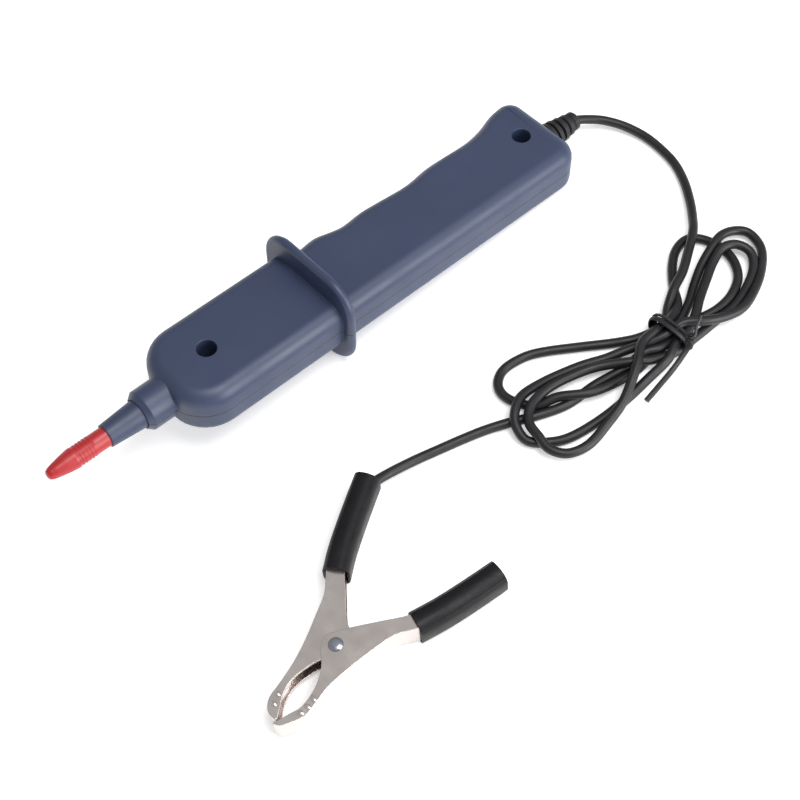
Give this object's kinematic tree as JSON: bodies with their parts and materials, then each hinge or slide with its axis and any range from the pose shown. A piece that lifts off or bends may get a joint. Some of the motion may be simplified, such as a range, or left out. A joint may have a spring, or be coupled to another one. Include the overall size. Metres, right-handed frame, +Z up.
{
  "type": "circuit test light",
  "caption": "Hand-held circuit test light with a capped probe, finger guard, lit window, and a lead tied in a hank that ends in a sprung ground clip.",
  "frame": {"origin": "on the table under the middle of the tester, which rests on its finger guard and its tail", "axes": "+X from the probe to the tail, +Y to the side with the finger scallops, +Z up from the table"},
  "size_m": [0.223, 0.1254, 0.0327],
  "materials": {
    "housing_plastic": "fine-grained moulded ABS, slate blue",
    "cap_plastic": "soft moulded vinyl, red",
    "probe_steel": "polished hardened steel",
    "screw_steel": "black oxide",
    "clip_nickel": "nickel-plated stamped steel",
    "rivet_steel": "zinc-plated steel",
    "spring_steel": "zinc-plated spring wire",
    "black_vinyl": "smooth black vinyl",
    "black_rubber": "moulded black rubber",
    "tie_plastic": "plastic-coated wire, black",
    "board_laminate": "glass-epoxy laminate with green solder mask",
    "chip_epoxy": "moulded epoxy with tinned legs",
    "resistor_film": "lacquered film resistors",
    "lamp_red": "tinted clear epoxy",
    "lamp_green": "tinted clear epoxy",
    "lens_clear": "clear polycarbonate",
    "copper": "bare copper",
    "wire_red": "vinyl-insulated hook-up wire"
  },
  "bodies": {
    "root": {"back_shell": "housing_plastic", "front_shell": "housing_plastic", "housing_screws": "screw_steel", "probe_sleeve": "housing_plastic", "probe_needle": "probe_steel", "probe_wire": "wire_red", "circuit_board": "board_laminate", "driver_chip": "chip_epoxy", "resistors": "resistor_film", "led_red": "lamp_red", "led_green": "lamp_green", "indicator_lens": "lens_clear", "strain_relief": "black_rubber", "lead_inner": "black_vinyl", "lead_core": "copper", "lead_anchor": "rivet_steel", "lead": "black_vinyl", "lead_hank": "black_vinyl", "lead_end": "black_vinyl", "twist_tie": "tie_plastic", "clip_fixed_lever": "clip_nickel", "clip_rivet": "rivet_steel", "clip_spring": "spring_steel", "clip_fixed_grip": "black_vinyl", "clip_crimp": "copper"},
    "cap": {"probe_cap": "cap_plastic"},
    "clip_moving_side": {"clip_moving_lever": "clip_nickel", "clip_moving_grip": "black_vinyl"}
  },
  "joints": [
    {"name": "cap_pull", "type": "slide", "parent": "root", "child": "cap", "axis": [-0.996, 0, 0.0894], "range_m": [0, 0.025]},
    {"name": "clip_open", "type": "hinge", "parent": "root", "child": "clip_moving_side", "pos_m": [-0.0758, -0.0874, 0.0052], "axis": [0, 0, 1], "range_deg": [0, 35], "stiffness_Nm_per_rad": 0.4, "springref_deg": -28.65, "deforming": ["clip_spring"]}
  ]
}
